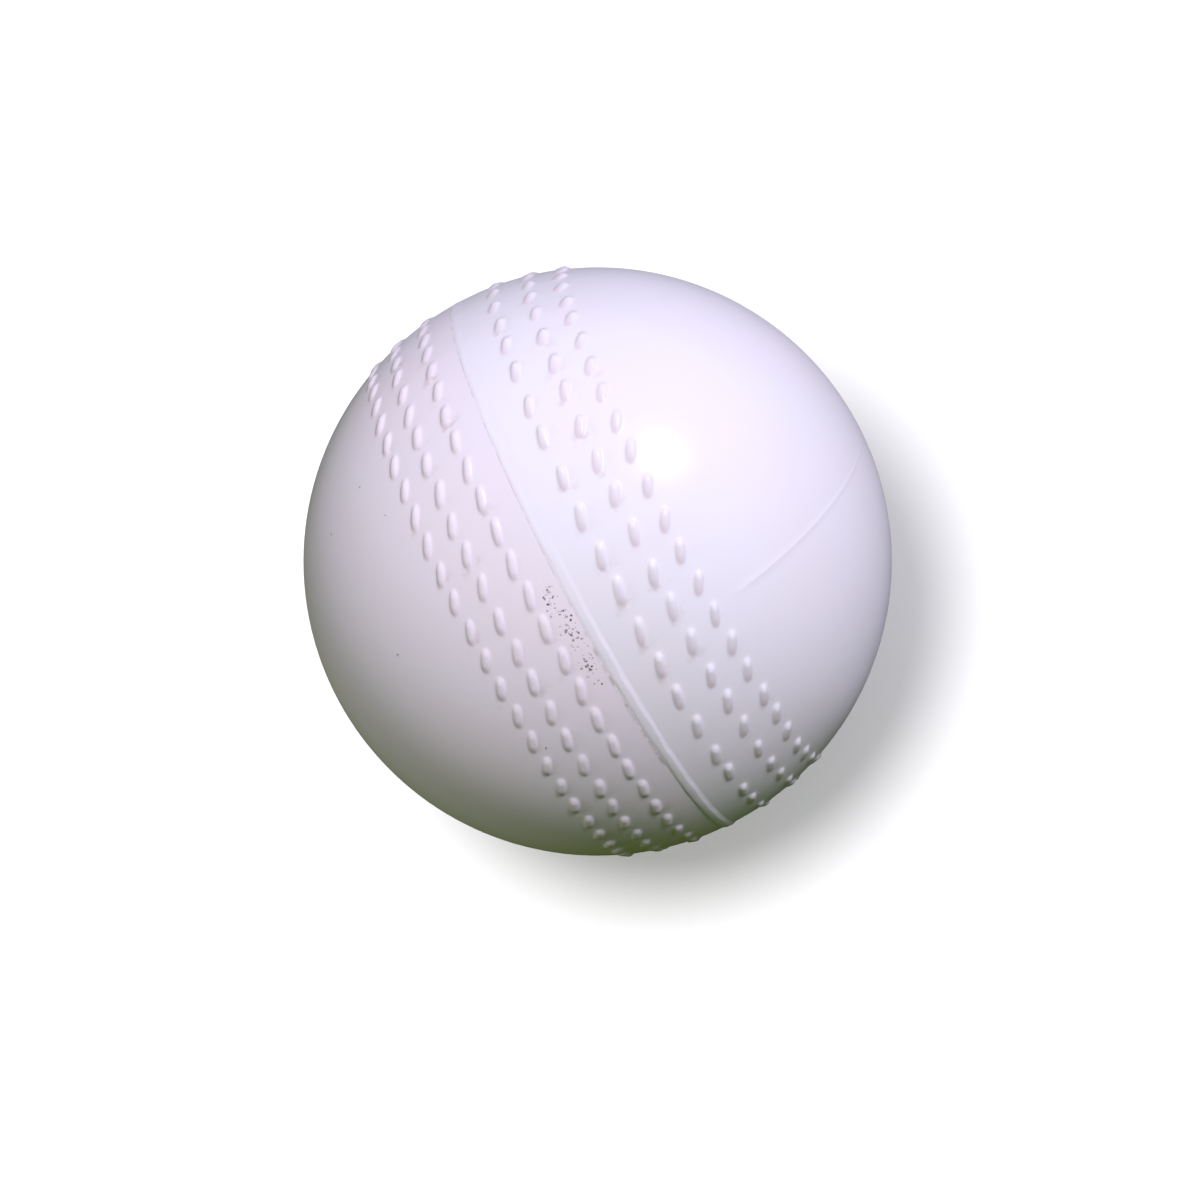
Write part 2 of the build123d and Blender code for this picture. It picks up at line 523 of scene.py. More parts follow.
def stitched_band(number, row, side, material):
    """Make one row's band of skin with its stitches, as a plain mesh."""
    latitude = side * row.offset / BALL_RADIUS
    count = row.counts[side]
    pitch = FULL_TURN * BALL_RADIUS * math.cos(latitude) / count
    straight = row.length - STITCH_WIDTH
    gap_along = pitch - straight * math.cos(row.lean)
    gap_across = straight * math.sin(row.lean)
    room = math.hypot(gap_along, gap_across) / 2 - STITCH_WIDTH / 2 - PAD_SKIRT
    cell = stitch_cell(row, side, pitch, slant=gap_across / gap_along)
    mesh = grown_mesh(
        "stitched_band",
        STITCH_ROW,
        {
            "Cell": cell,
            "Count": count,
            "First Angle": row.first_angles[side],
            "Latitude": latitude,
            "Radius": BALL_RADIUS,
            "Lean": row.lean,
            "Nudge": STRAY_SHARE_OF_ROOM * room,
            "Seed": ROW_SEEDS[side] + ROW_SEED_STEP * number,
            "Material": material,
        },
    )
    bpy.data.objects.remove(cell)
    return mesh


def angle_of(point):
    return math.atan2(point.co.z, point.co.y) % FULL_TURN


def add_ring(shell, x, radius, angles):
    return [shell.verts.new((x, radius * math.cos(a), radius * math.sin(a))) for a in angles]


def even_angles(count):
    return [FULL_TURN * i / count for i in range(count)]


def join_rings(shell, first, second):
    """Fill the strip between two closed rings, by squares where they match, else by triangles."""
    first = sorted(first, key=angle_of)
    second = sorted(second, key=angle_of)
    if len(first) == len(second):
        for i in range(len(first)):
            shell.faces.new((first[i - 1], first[i], second[i], second[i - 1]))
        return
    first_angles = [angle_of(point) for point in first] + [FULL_TURN + angle_of(first[0])]
    second_angles = [angle_of(point) for point in second] + [FULL_TURN + angle_of(second[0])]
    i = j = 0
    while i < len(first) or j < len(second):
        a, b = first[i % len(first)], second[j % len(second)]
        first_is_next = i < len(first) and (
            j == len(second) or first_angles[i + 1] <= second_angles[j + 1]
        )
        if first_is_next:
            i += 1
            shell.faces.new((a, first[i % len(first)], b))
        else:
            j += 1
            shell.faces.new((a, second[j % len(second)], b))


def close_ring(shell, ring, tip):
    """Close a ring at a pole."""
    ring = sorted(ring, key=angle_of)
    pole = shell.verts.new(tip)
    for i in range(len(ring)):
        shell.faces.new((ring[i - 1], ring[i], pole))


def keep_sharp(ring):
    """Keep a ring of points a sharp corner."""
    members = set(ring)
    for point in ring:
        for edge in point.link_edges:
            if edge.other_vert(point) in members:
                edge.smooth = False


def open_ring(shell, distance):
    """Points on the shell's open edges at a distance from the seam."""
    x = BALL_RADIUS * math.sin(distance / BALL_RADIUS)
    return [p for p in shell.verts if p.is_boundary and abs(abs(p.co.x) - x) < EDGE_TOLERANCE]


def mould_line_rise(latitude):
    """Height of the mould line, which fades in past the stitches and out near the pole."""
    along = latitude * BALL_RADIUS
    start = CAP_START + MOULD_LINE_FADE
    end = MOULD_LINE_END * BALL_RADIUS
    fade = min((along - start) / MOULD_LINE_FADE, (end - along) / MOULD_LINE_FADE, 1.0)
    return MOULD_LINE_HEIGHT * max(fade, 0.0)


def cap_ring(shell, side, latitude):
    """Add one ring of the smooth cap, with the mould line's crest and feet on the right half."""
    x = side * BALL_RADIUS * math.sin(latitude)
    radius = BALL_RADIUS * math.cos(latitude)
    column = FULL_TURN / TURNED_STEPS
    angles = [MOULD_LINE_ANGLE + i * column for i in range(TURNED_STEPS)]
    if side == LEFT:
        return add_ring(shell, x, radius, angles)
    foot = min(MOULD_LINE_HALF_WIDTH / radius, MOULD_LINE_MOST_OF_COLUMN * column)
    feet = [MOULD_LINE_ANGLE - foot, MOULD_LINE_ANGLE + foot]
    ring = add_ring(shell, x, radius, angles + feet)
    ring[0].co *= 1 + mould_line_rise(latitude) / BALL_RADIUS
    return ring


def add_cap(shell, side, far_ring):
    """Add the smooth cap outside the stitches, up to the pole."""
    start = CAP_START / BALL_RADIUS
    steps = math.ceil((QUARTER_TURN - start) / CAP_STEP)
    ring = far_ring
    for i in range(steps):
        next_ring = cap_ring(shell, side, start + (QUARTER_TURN - start) * i / steps)
        join_rings(shell, ring, next_ring)
        ring = next_ring
    close_ring(shell, ring, (side * BALL_RADIUS, 0, 0))


def joint_profile(side):
    """Corners of the rim, from the bead's root to the cavity, as (x, radius)."""
    groove_inner = GROOVE_OUTER_RADIUS - GROOVE_WIDTH
    root = (0.0, BALL_RADIUS - BEAD_ROOT_DEPTH)
    inner_rim = (0.0, BALL_RADIUS - WALL)
    if side == RIGHT:
        groove = [
            (0.0, GROOVE_OUTER_RADIUS),
            (GROOVE_DEPTH, GROOVE_OUTER_RADIUS),
            (GROOVE_DEPTH, groove_inner),
            (0.0, groove_inner),
        ]
        return [root, *groove, inner_rim]
    outer = GROOVE_OUTER_RADIUS - TONGUE_CLEARANCE
    inner = groove_inner + TONGUE_CLEARANCE
    tongue = [
        (0.0, outer),
        (TONGUE_LENGTH - TONGUE_LEAD_IN, outer),
        (TONGUE_LENGTH, outer - TONGUE_LEAD_IN),
        (TONGUE_LENGTH, inner + TONGUE_LEAD_IN),
        (TONGUE_LENGTH - TONGUE_LEAD_IN, inner),
        (0.0, inner),
    ]
    return [root, *tongue, inner_rim]


def add_joint_and_cavity(shell, side, rim_ring):
    """Add the rim with its tongue or groove, and the cavity's wall, inside the seam."""
    ring = rim_ring
    keep_sharp_rings = [ring]
    for x, radius in joint_profile(side):
        next_ring = add_ring(shell, x, radius, even_angles(TURNED_STEPS))
        join_rings(shell, ring, next_ring)
        ring = next_ring
        keep_sharp_rings.append(ring)
    cavity_radius = BALL_RADIUS - WALL
    steps = round(QUARTER_TURN / CAVITY_STEP)
    for i in range(1, steps):
        latitude = QUARTER_TURN * i / steps
        x = side * cavity_radius * math.sin(latitude)
        radius = cavity_radius * math.cos(latitude)
        next_ring = add_ring(shell, x, radius, even_angles(TURNED_STEPS))
        join_rings(shell, ring, next_ring)
        ring = next_ring
    close_ring(shell, ring, (side * cavity_radius, 0, 0))
    for corner in keep_sharp_rings:
        keep_sharp(corner)


def half_shell(name, side, material):
    """Make one half shell: its rim, three stitched bands, smooth cap, joint and cavity."""
    shell = bmesh.new()
    for number, row in enumerate(ROWS):
        band = stitched_band(number, row, side, material)
        shell.from_mesh(band)
        bpy.data.meshes.remove(band)
    foot_radius = math.sqrt(BALL_RADIUS**2 - BEAD_HALF_WIDTH**2)
    rim_ring = add_ring(shell, side * BEAD_HALF_WIDTH, foot_radius, even_angles(TURNED_STEPS))
    ring = rim_ring
    for row in ROWS:
        near, far = (open_ring(shell, edge) for edge in row.band)
        join_rings(shell, ring, near)
        ring = far
    add_cap(shell, side, ring)
    add_joint_and_cavity(shell, side, rim_ring)
    for face in shell.faces:
        face.smooth = True
    bmesh.ops.recalc_face_normals(shell, faces=shell.faces)
    mesh = bpy.data.meshes.new(name)
    shell.to_mesh(mesh)
    shell.free()
    return finished_piece(name, mesh, material, ("which", "grip", "share", "foot"))


def seam_bead_tree():
    """Tree that runs the bead round the seam, with the uneven edges that hand trimming leaves."""
    w, given, result = new_tree(
        "seam_bead",
        "GeometryNodeTree",
        [
            ("Cell", "Object"),
            ("Count", "Int"),
            ("Radius", "Float"),
            ("Edge Waver", "Float"),
            ("Top Waver", "Float"),
            ("Lowest At", "Float"),
            ("Seed", "Int"),
            ("Material", "Material"),
        ],
        [("Geometry", "Geometry")],
    )
    cell = w.add("GeometryNodeObjectInfo", {"Object": given["Cell"]}).outputs["Geometry"]
    skin = numbered_copies(w, cell, given["Count"])
    x, y, z = w.split(w.add("GeometryNodeInputPosition"))
    step = w.math("DIVIDE", FULL_TURN, given["Count"])
    angle = w.math("MULTIPLY", w.attribute("which", data_type="INT"), step)
    here = w.math("ADD", angle, w.math("DIVIDE", x, given["Radius"]))

    def waver(scale, number):
        """Noise from about 0 to 1 that closes on itself round the seam."""
        level = w.math("ADD", given["Seed"], number)
        place = w.vector(w.math("COSINE", here), w.math("SINE", here), level)
        return w.ramp(w.noise(place, scale, detail=3.0, roughness=0.6), *WAVER_RANGE)

    left_move = w.math("MULTIPLY", w.attribute("left_edge"), waver(*LEFT_WAVER))
    right_move = w.math("MULTIPLY", w.attribute("right_edge"), waver(*RIGHT_WAVER))
    move = w.math("SUBTRACT", left_move, right_move)
    across = w.math("MULTIPLY_ADD", move, given["Edge Waver"], y)

    # The bead is trimmed lowest on one side of the ball, where its right edge sinks into the shell.
    lowness = w.math("COSINE", w.math("SUBTRACT", here, given["Lowest At"]))
    left_share = w.ramp(lowness, *LEFT_TRIM)
    right_share = w.ramp(lowness, *RIGHT_TRIM)
    height_share = w.mix(w.attribute("right_side"), left_share, right_share)
    proud = w.math("MAXIMUM", z, 0.0)
    sunk = w.math("MINIMUM", z, 0.0)
    dip_share = w.math("MULTIPLY", w.attribute("top"), waver(*TOP_WAVER))
    dip = w.math("MULTIPLY", dip_share, given["Top Waver"])
    trimmed = w.math("SUBTRACT", w.math("MULTIPLY", proud, height_share), dip)
    raised = w.math("MAXIMUM", trimmed, 0.0)
    flat = w.vector(x, across, w.math("ADD", raised, sunk))
    wrapped = wrapped_skin(w, skin, flat, angle, 0.0, given["Radius"], given["Material"])
    w.feed(result["Geometry"], wrapped)
    return w.tree


def seam_bead(material):
    """Make the trimmed bead: a vee root under a low rib, one short length repeated all round."""
    root = (0.0, -BEAD_ROOT_DEPTH)
    section = [(c.across * BEAD_HALF_WIDTH, c.height * BEAD_HEIGHT) for c in BEAD_SECTION] + [root]
    length = FULL_TURN * BALL_RADIUS / BEAD_STEPS
    points = [(x, across, height) for x in (-length / 2, length / 2) for across, height in section]
    corners = len(section)
    faces = []
    for here in range(corners):
        there = (here + 1) % corners
        faces.append((here, there, there + corners, here + corners))
    weights = {
        "left_edge": [*(c.left for c in BEAD_SECTION), 0.0] * 2,
        "right_edge": [*(c.right for c in BEAD_SECTION), 0.0] * 2,
        "top": [*(c.top for c in BEAD_SECTION), 0.0] * 2,
        "right_side": [*((c.across + 1) / 2 for c in BEAD_SECTION), 0.5] * 2,
        "foot": [*(float(c.height == 0) for c in BEAD_SECTION), 0.0] * 2,
    }
    cell = cell_object("bead_cell", points, faces, weights)
    mesh = grown_mesh(
        "seam_bead_rib",
        seam_bead_tree(),
        {
            "Cell": cell,
            "Count": BEAD_STEPS,
            "Radius": BALL_RADIUS,
            "Edge Waver": BEAD_EDGE_WAVER,
            "Top Waver": BEAD_TOP_WAVER,
            "Lowest At": BEAD_LOW_ANGLE,
            "Seed": BEAD_SEED,
            "Material": material,
        },
    )
    bpy.data.objects.remove(cell)
    ring = bmesh.new()
    ring.from_mesh(mesh)
    bmesh.ops.recalc_face_normals(ring, faces=ring.faces)
    foot = ring.verts.layers.float["foot"]
    keep_sharp([point for point in ring.verts if point[foot] > 0.5])
    ring.to_mesh(mesh)
    ring.free()
    return finished_piece("seam_bead_rib", mesh, material, ("which", *weights))


# Finishes

LEFT_TINTS = ((0.797, 0.704, 0.865, 1), (0.81, 0.7, 0.852, 1))
RIGHT_TINTS = ((0.792, 0.733, 0.888, 1), (0.802, 0.725, 0.868, 1))
BEAD_TINTS = ((0.79, 0.728, 0.885, 1), (0.8, 0.724, 0.87, 1))
SPECK_BROWN = (0.09, 0.028, 0.04, 1)
# Brown of the dirt, and of the painted shade at the stitches' feet and the bead's left foot
GRIME_AND_SHADE_BROWN = (0.40, 0.28, 0.27, 1)
# Colours of the painted shade on the stitches' pads
LEFT_PAINTED_SHADE = (0.66, 0.49, 0.6, 1)
RIGHT_PAINTED_SHADE = (0.6, 0.43, 0.53, 1)

SHELL_ROUGHNESS = 0.23
BEAD_ROUGHNESS = 0.32
WELD_ROUGHNESS = 0.4
ROUGHNESS_SHARES = (0.9, 1.15)
PLASTIC_IOR = 1.52
MOTTLE_SIZE = 14 * MM
MOTTLE_RANGE = (0.3, 0.7)
SKIN_WAVE_SIZE = 2.2 * MM
SKIN_WAVE_DEPTH = 0.006 * MM

# Specks come in clumps, with ragged outlines, in different sizes and darknesses.
PATCH_FADE = (1.15, 0.75)
CLUMP_SCALE = 700.0
CLUMP_RANGE = (0.33, 0.52)
RAGGED_SCALE = 2200.0
RAGGED_SHIFT = (0.55 * MM, 0.55 * MM, 0.55 * MM)
SPECK_SIZES = (0.45, 1.0)
SPECK_DARKNESSES = (0.3, 0.95)
SPECK_CORE = 0.5

# Dirt and painted shade lie in patches, and thin out towards the ends of their stretch.
SEAM_GRIME_AND_SHADE_SCALE = 500.0
SEAM_GRIME_AND_SHADE_RANGE = (0.42, 0.62)
SEAM_GRIME_AND_SHADE_CORE = 0.6
STITCH_GRIME_AND_SHADE_SCALE = 700.0
STITCH_GRIME_AND_SHADE_RANGE = (0.45, 0.65)


def mottle_group():
    """Slow, faint change of tint over the plastic, from 0 to 1."""
    w, given, result = new_tree(
        "mottle", "ShaderNodeTree", [("Size", "Float")], [("Share", "Float")]
    )
    place = w.add("ShaderNodeTexCoord").outputs["Object"]
    patches = w.noise(place, w.math("DIVIDE", 1.0, given["Size"]), detail=3.0)
    w.feed(result["Share"], w.ramp(patches, *MOTTLE_RANGE))
    return w.tree


def mould_skin_group():
    """Fine waviness that moulding leaves in a glossy face."""
    w, given, result = new_tree(
        "mould_skin",
        "ShaderNodeTree",
        [("Size", "Float"), ("Depth", "Float")],
        [("Normal", "Vector")],
    )
    place = w.add("ShaderNodeTexCoord").outputs["Object"]
    waves = w.noise(place, w.math("DIVIDE", 1.0, given["Size"]), detail=1.0)
    inputs = {"Strength": 1.0, "Distance": given["Depth"], "Height": waves}
    bump = w.add("ShaderNodeBump", inputs)
    w.feed(result["Normal"], bump.outputs["Normal"])
    return w.tree


def specks_group():
    """Mask of small dark specks: a patch of them beside the seam, and a few all over."""
    w, given, result = new_tree(
        "specks",
        "ShaderNodeTree",
        [
            ("Spacing", "Float"),
            ("Size", "Float"),
            ("Patch Angle", "Float"),
            ("Patch Half Angle", "Float"),
            ("Patch Across", "Float"),
            ("Patch Half Width", "Float"),
            ("In Patch", "Float"),
            ("All Over", "Float"),
        ],
        [("Mask", "Float")],
    )
    place = w.add("ShaderNodeTexCoord").outputs["Object"]
    x, y, z = w.split(place)
    angle = w.math("ARCTAN2", z, y)
    turn = w.math("SUBTRACT", angle, given["Patch Angle"])
    along = w.math("POWER", w.math("DIVIDE", turn, given["Patch Half Angle"]), 2.0)
    off = w.math("SUBTRACT", x, given["Patch Across"])
    across = w.math("POWER", w.math("DIVIDE", off, given["Patch Half Width"]), 2.0)
    from_middle = w.math("SQRT", w.math("ADD", along, across))
    patch = w.ramp(from_middle, *PATCH_FADE)
    clumps = w.ramp(w.noise(place, CLUMP_SCALE, detail=1.0), *CLUMP_RANGE)
    chance = w.mix(patch, given["All Over"], w.math("MULTIPLY", given["In Patch"], clumps))

    inputs = {"Vector": place, "Scale": RAGGED_SCALE, "Detail": 2.0}
    ragged = w.add("ShaderNodeTexNoise", inputs).outputs["Color"]
    shifted = w.vector_math("ADD", place, w.vector_math("MULTIPLY", ragged, RAGGED_SHIFT))
    inputs = {"Vector": shifted, "Scale": w.math("DIVIDE", 1.0, given["Spacing"])}
    cells = w.add("ShaderNodeTexVoronoi", inputs)
    pick, size_share, depth = w.split(cells.outputs["Color"])
    is_speck = w.math("LESS_THAN", pick, chance)
    radius = w.math("DIVIDE", given["Size"], given["Spacing"])
    radius = w.math("MULTIPLY", radius, w.ramp(size_share, 0.0, 1.0, *SPECK_SIZES))
    inside = w.ramp(cells.outputs["Distance"], radius, w.math("MULTIPLY", radius, SPECK_CORE))
    darkness = w.math("MULTIPLY", inside, w.ramp(depth, 0.0, 1.0, *SPECK_DARKNESSES))
    w.feed(result["Mask"], w.math("MULTIPLY", is_speck, darkness))
    return w.tree


def seam_grime_and_shade_group():
    """Mask of dirt and painted shade along one foot of the bead, over part of its way round."""
    w, given, result = new_tree(
        "seam_grime_and_shade",
        "ShaderNodeTree",
        [
            ("Across", "Float"),
            ("Half Width", "Float"),
            ("Middle Angle", "Float"),
            ("Half Angle", "Float"),
            ("Amount", "Float"),
        ],
        [("Mask", "Float")],
    )
    place = w.add("ShaderNodeTexCoord").outputs["Object"]
    x, y, z = w.split(place)
    off = w.math("ABSOLUTE", w.math("SUBTRACT", x, given["Across"]))
    strip = w.ramp(off, given["Half Width"], 0.0)
    angle = w.math("ARCTAN2", z, y)
    turn = w.math("ABSOLUTE", w.math("SUBTRACT", angle, given["Middle Angle"]))
    core = w.math("MULTIPLY", given["Half Angle"], SEAM_GRIME_AND_SHADE_CORE)
    stretch = w.ramp(turn, given["Half Angle"], core)
    noise = w.noise(place, SEAM_GRIME_AND_SHADE_SCALE, detail=3.0, roughness=0.6)
    patches = w.ramp(noise, *SEAM_GRIME_AND_SHADE_RANGE)
    mask = w.math("MULTIPLY", w.math("MULTIPLY", strip, stretch), patches)
    w.feed(result["Mask"], w.math("MULTIPLY", mask, given["Amount"]))
    return w.tree


def stitch_grime_and_shade_group():
    """Mask of dirt and painted shade round the feet of some of the stitches, most at their last
    ends.
    """
    w, given, result = new_tree(
        "stitch_grime_and_shade", "ShaderNodeTree", [("Amount", "Float")], [("Mask", "Float")]
    )
    place = w.add("ShaderNodeTexCoord").outputs["Object"]
    foot = w.add("ShaderNodeAttribute", attribute_name="grime").outputs["Fac"]
    patches = w.ramp(w.noise(place, STITCH_GRIME_AND_SHADE_SCALE), *STITCH_GRIME_AND_SHADE_RANGE)
    mask = w.math("MULTIPLY", foot, patches)
    w.feed(result["Mask"], w.math("MULTIPLY", mask, given["Amount"]))
    return w.tree


def pad_painted_shade_group():
    """Mask of the painted shade on each stitch, more towards its last end and its lower side."""
    w, given, result = new_tree(
        "pad_painted_shade", "ShaderNodeTree", [("Amount", "Float")], [("Mask", "Float")]
    )
    painted_shade = w.add("ShaderNodeAttribute", attribute_name="painted_shade").outputs["Fac"]
    w.feed(result["Mask"], w.math("MULTIPLY", painted_shade, given["Amount"]))
    return w.tree


def white_plastic(name, tints, roughness, marks=()):
    """Glossy white plastic, with marks of (mask group, its values, colour)."""
    material = bpy.data.materials.new(name)
    material.use_nodes = True
    w = Wiring(material.node_tree)
    shader = material.node_tree.nodes["Principled BSDF"]
    mottle = w.add("ShaderNodeGroup", {"Size": MOTTLE_SIZE}, node_tree=MOTTLE)
    colour = w.mix_colour(mottle, *tints)
    for group, values, stain in marks:
        mark = w.add("ShaderNodeGroup", values, node_tree=group)
        colour = w.mix_colour(mark, colour, stain)
    waves = {"Size": SKIN_WAVE_SIZE, "Depth": SKIN_WAVE_DEPTH}
    skin = w.add("ShaderNodeGroup", waves, node_tree=MOULD_SKIN)
    low_roughness, high_roughness = (share * roughness for share in ROUGHNESS_SHARES)
    gloss = w.ramp(mottle, 0.0, 1.0, low_roughness, high_roughness)
    w.feed(shader.inputs["Base Color"], colour)
    w.feed(shader.inputs["Roughness"], gloss)
    w.feed(shader.inputs["Normal"], skin)
    shader.inputs["IOR"].default_value = PLASTIC_IOR
    return material


# Stage


def picture_axes(rise, toward, turn):
    """Axes of the picture: right, up and towards the viewer, for a seam axis with this tilt."""
    back = Vector(
        (math.sin(toward), -math.cos(toward) * math.cos(turn), math.cos(toward) * math.sin(turn))
    )
    seam_axis = Vector((1, 0, 0))
    along = (seam_axis - seam_axis.dot(back) * back).normalized()
    across = back.cross(along)
    right = math.cos(rise) * along - math.sin(rise) * across
    up = math.sin(rise) * along + math.cos(rise) * across
    return right, up, back


PICTURE_WIDTH, PICTURE_HEIGHT = 1194, 1199
SENSOR = 36.0
BALL_MIDDLE_PX = (597.6, 561.7)
BALL_OUTLINE_PX = 294.2
VIEW_DISTANCE = 12.13 * BALL_RADIUS
NEAREST_SEEN = 0.01
RIGHT_AXIS, UP_AXIS, BACK_AXIS = picture_axes(
    rise=math.radians(27.4), toward=math.radians(6.6), turn=math.radians(63.9)
)


def from_picture(right, up, back):
    """Direction in the frame of a direction given in the picture's own axes."""
    return (right * RIGHT_AXIS + up * UP_AXIS + back * BACK_AXIS).normalized()


SURROUND_DARK = (0.058, 0.107, 0.002, 1)
SURROUND_PALE = (0.416, 0.435, 0.508, 1)
BACKGROUND_WHITE = (1, 1, 1, 1)
FLOOR_WHITE = (0.6, 0.586, 0.602, 1)
FLOOR_DARK = (0.03, 0.045, 0.002, 1)
FLOOR_PALE = (0.14, 0.146, 0.158, 1)
FLOOR_HALF_WIDTH = 2.0
PALE_SIDE = from_picture(0.6, 0.9, 0.06)
DARK_TO_PALE = (-0.08, 0.16)


def graded(w, direction, dark, pale, seen_as):
    """Colour from dark below the ball to pale above it, and plain where the camera sees it."""
    inputs = {0: direction, 1: PALE_SIDE}
    rise = w.add("ShaderNodeVectorMath", inputs, operation="DOT_PRODUCT").outputs["Value"]
    around = w.mix_colour(w.ramp(rise, *DARK_TO_PALE), dark, pale)
    seen = w.add("ShaderNodeLightPath").outputs["Is Camera Ray"]
    return w.mix_colour(seen, around, seen_as)


def floor_material():
    """White to the camera, and graded to the light that it throws back on the ball."""
    material = bpy.data.materials.new("floor_white")
    material.use_nodes = True
    w = Wiring(material.node_tree)
    shader = material.node_tree.nodes["Principled BSDF"]
    direction = w.vector_math("NORMALIZE", w.add("ShaderNodeTexCoord").outputs["Object"])
    colour = graded(w, direction, FLOOR_DARK, FLOOR_PALE, FLOOR_WHITE)
    w.feed(shader.inputs["Base Color"], colour)
    shader.inputs["Roughness"].default_value = 1.0
    shader.inputs["Specular IOR Level"].default_value = 0.0
    return material


def add_camera():
    focal_px = BALL_OUTLINE_PX * math.sqrt((VIEW_DISTANCE / BALL_RADIUS) ** 2 - 1)
    data = bpy.data.cameras.new("photo_view")
    data.sensor_width = SENSOR
    data.lens = focal_px / PICTURE_HEIGHT * SENSOR
    data.clip_start = NEAREST_SEEN
    turn_right = math.atan2(PICTURE_WIDTH / 2 - BALL_MIDDLE_PX[0], focal_px)
    turn_down = math.atan2(PICTURE_HEIGHT / 2 - BALL_MIDDLE_PX[1], focal_px)
    camera = bpy.data.objects.new("photo_view", data)
    axes = Matrix((RIGHT_AXIS, UP_AXIS, BACK_AXIS)).transposed()
    aim = Matrix.Rotation(-turn_right, 3, "Y") @ Matrix.Rotation(-turn_down, 3, "X")
    turned = (axes @ aim).to_quaternion()
    camera.matrix_world = Matrix.LocRotScale(BACK_AXIS * VIEW_DISTANCE, turned, None)
    bpy.context.scene.collection.objects.link(camera)
    bpy.context.scene.camera = camera


def light_group(name, pieces):
    """Collection of the pieces that a lamp lights."""
    group = bpy.data.collections.new(name)
    for piece in pieces:
        group.objects.link(piece)
    return group


def add_soft_light(
    name, direction, distance, size, level, lit, in_gloss=False, in_diffuse=True, shadow=True
):
    """Add a round lamp aimed at the ball. Level 1 makes a white face that looks at it white."""
    data = bpy.data.lights.new(name, "AREA")
    data.shape = "DISK"
    data.size = size
    share_of_sky = 1 / (1 + (2 * distance / size) ** 2)
    area = math.pi * (size / 2) ** 2
    data.energy = level / share_of_sky * math.pi * area
    data.use_shadow = shadow
    light = bpy.data.objects.new(name, data)
    light.location = direction * distance
    light.rotation_euler = direction.to_track_quat("Z", "Y").to_euler()
    light.visible_camera = False
    light.visible_glossy = in_gloss
    light.visible_diffuse = in_diffuse
    light.light_linking.receiver_collection = lit
    bpy.context.scene.collection.objects.link(light)


def add_floor():
    mesh = bpy.data.meshes.new("floor")
    half = FLOOR_HALF_WIDTH
    corners = [(-half, -half), (half, -half), (half, half), (-half, half)]
    mesh.from_pydata([(x, y, FLOOR_HEIGHT) for x, y in corners], [], [(0, 1, 2, 3)])
    mesh.materials.append(floor_material())
    floor = new_object("floor", mesh)
    return floor


def add_surround():
    """White behind the floor, and soft light on the ball, from dark below to pale above."""
    world = bpy.data.worlds.new("soft_surround")
    world.use_nodes = True
    w = Wiring(world.node_tree)
    background = world.node_tree.nodes["Background"]
    direction = w.add("ShaderNodeTexCoord").outputs["Generated"]
    colour = graded(w, direction, SURROUND_DARK, SURROUND_PALE, BACKGROUND_WHITE)
    w.feed(background.inputs["Color"], colour)
    background.inputs["Strength"].default_value = 1.0
    bpy.context.scene.world = world
    bpy.context.scene.view_settings.view_transform = "Standard"


def add_lights(ball_pieces, floor_piece):
    ball = light_group("ball_light", ball_pieces)
    floor = light_group("floor_light", [floor_piece])
    add_soft_light(
        "sky", from_picture(0.27, 0.49, 1.0), distance=1.5, size=0.4, level=0.905, lit=ball
    )
    add_soft_light(
        "left_fill", from_picture(-1.0, -0.08, 0.15), distance=1.5, size=0.4, level=0.28, lit=ball
    )
    add_soft_light(
        "glint",
        from_picture(0.37, 0.64, 0.67),
        distance=1.5,
        size=0.42,
        level=0.18,
        lit=ball,
        in_gloss=True,
        in_diffuse=False,
    )
    add_soft_light(
        "floor_lamp", from_picture(-0.3, 0.22, 0.93), distance=0.6, size=0.24, level=1.17, lit=floor
    )
    add_soft_light(
        "floor_fill", Vector((0, 0, 1)), distance=0.8, size=0.8, level=0.78, lit=floor, shadow=False
    )


WRAP_ON_BALL = wrap_on_ball_tree()
STITCH_ROW = stitch_row_tree()
MOTTLE = mottle_group()
MOULD_SKIN = mould_skin_group()
SPECKS = specks_group()
SEAM_GRIME_AND_SHADE = seam_grime_and_shade_group()
STITCH_GRIME_AND_SHADE = stitch_grime_and_shade_group()
PAD_PAINTED_SHADE = pad_painted_shade_group()
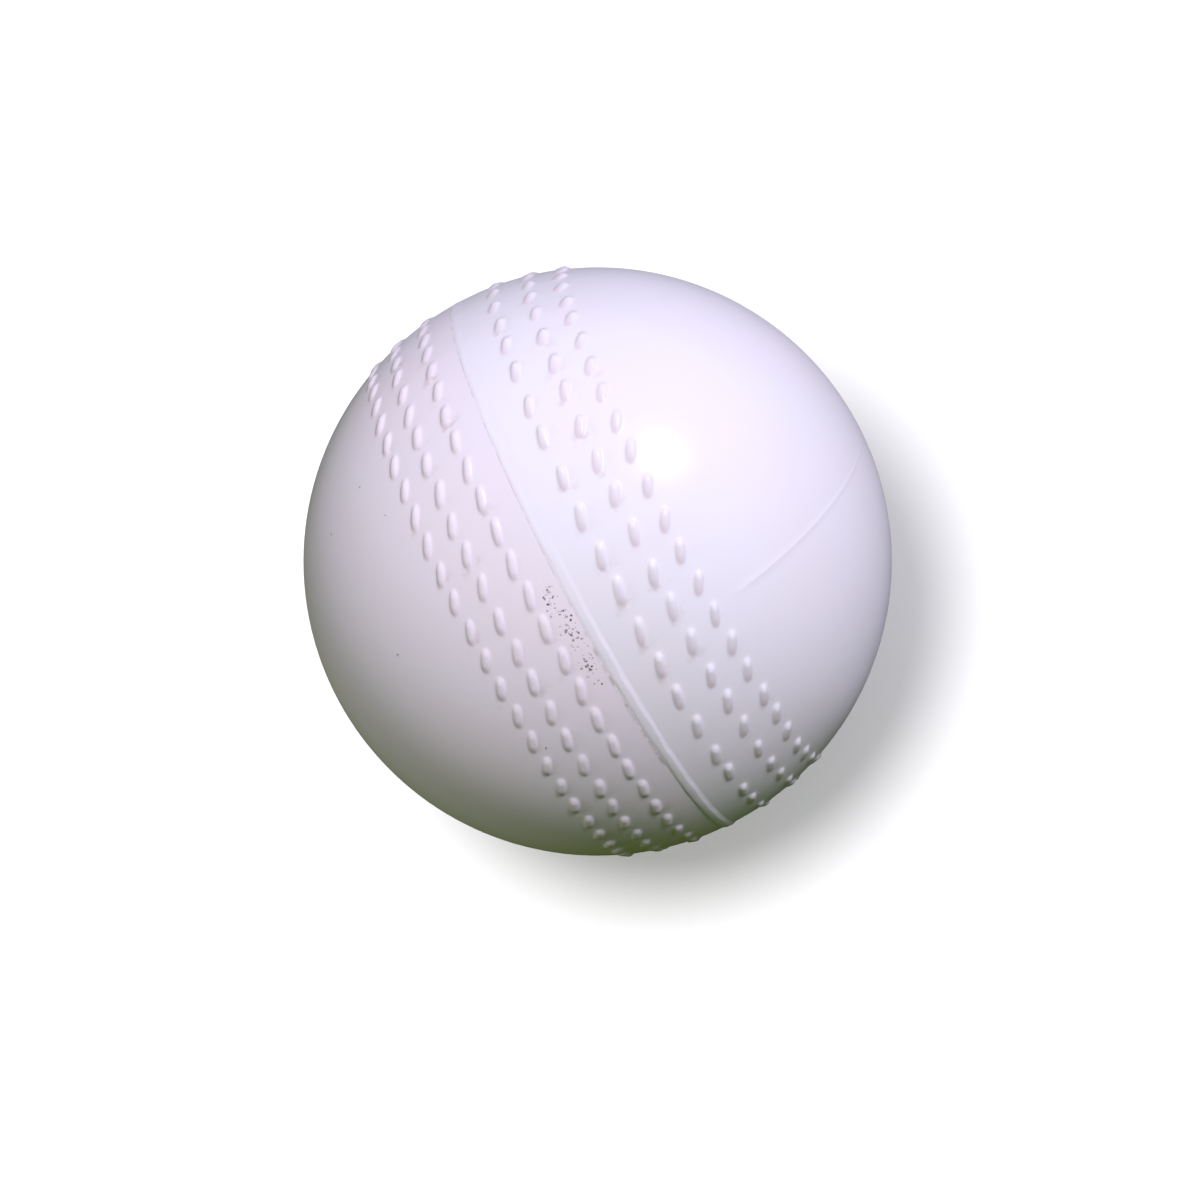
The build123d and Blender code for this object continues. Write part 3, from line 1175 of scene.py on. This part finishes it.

# The left half carries a patch of specks, some dirt and a painted shade line beside the seam, the
# right half only a few.
left_marks = [
    # Painted shade on the stitches' last ends and lower sides
    (PAD_PAINTED_SHADE, {"Amount": 0.35}, LEFT_PAINTED_SHADE),
    # Dirt and painted shade at the feet of some stitches
    (STITCH_GRIME_AND_SHADE, {"Amount": 0.6}, GRIME_AND_SHADE_BROWN),
    (
        SEAM_GRIME_AND_SHADE,
        {
            "Across": -0.85 * MM,
            "Half Width": 0.45 * MM,
            "Middle Angle": math.radians(145),
            "Half Angle": math.radians(22),
            "Amount": 0.65,
        },
        GRIME_AND_SHADE_BROWN,
    ),
    # A thin painted shade line at the foot of the bead's left step, over the ball's upper side
    (
        SEAM_GRIME_AND_SHADE,
        {
            "Across": -0.8 * MM,
            "Half Width": 0.18 * MM,
            "Middle Angle": math.radians(75),
            "Half Angle": math.radians(70),
            "Amount": 0.5,
        },
        GRIME_AND_SHADE_BROWN,
    ),
    (
        SPECKS,
        {
            "Spacing": 0.37 * MM,
            "Size": 0.25 * MM,
            "Patch Angle": math.radians(126),
            "Patch Half Angle": math.radians(12.5),
            "Patch Across": -2.4 * MM,
            "Patch Half Width": 1.2 * MM,
            "In Patch": 0.8,
            "All Over": 0.0008,
        },
        SPECK_BROWN,
    ),
]
right_marks = [
    # Painted shade on the stitches' last ends and lower sides
    (PAD_PAINTED_SHADE, {"Amount": 0.55}, RIGHT_PAINTED_SHADE),
    # Dirt and painted shade at the feet of some stitches
    (STITCH_GRIME_AND_SHADE, {"Amount": 0.4}, GRIME_AND_SHADE_BROWN),
    (
        SPECKS,
        {
            "Spacing": 0.6 * MM,
            "Size": 0.18 * MM,
            "Patch Half Width": MM,
            "All Over": 0.0008,
        },
        SPECK_BROWN,
    ),
]
left_white = white_plastic("left_shell_white", LEFT_TINTS, SHELL_ROUGHNESS, left_marks)
right_white = white_plastic("right_shell_white", RIGHT_TINTS, SHELL_ROUGHNESS, right_marks)
left_shell = half_shell("left_shell", LEFT, left_white)
right_shell = half_shell("right_shell", RIGHT, right_white)
bead = seam_bead(white_plastic("bead_white", BEAD_TINTS, BEAD_ROUGHNESS))
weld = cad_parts["groove_weld"]
for weld_slot in weld.material_slots:
    weld_slot.material = white_plastic("weld_white", LEFT_TINTS, WELD_ROUGHNESS)

for piece, node, slot in (
    (left_shell, "left_half_shell", "left_shell_plastic"),
    (right_shell, "right_half_shell", "right_shell_plastic"),
    (bead, "seam_bead", "bead_plastic"),
):
    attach(piece, "root")
    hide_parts(node)

add_surround()
add_lights([left_shell, right_shell, bead], add_floor())
add_camera()
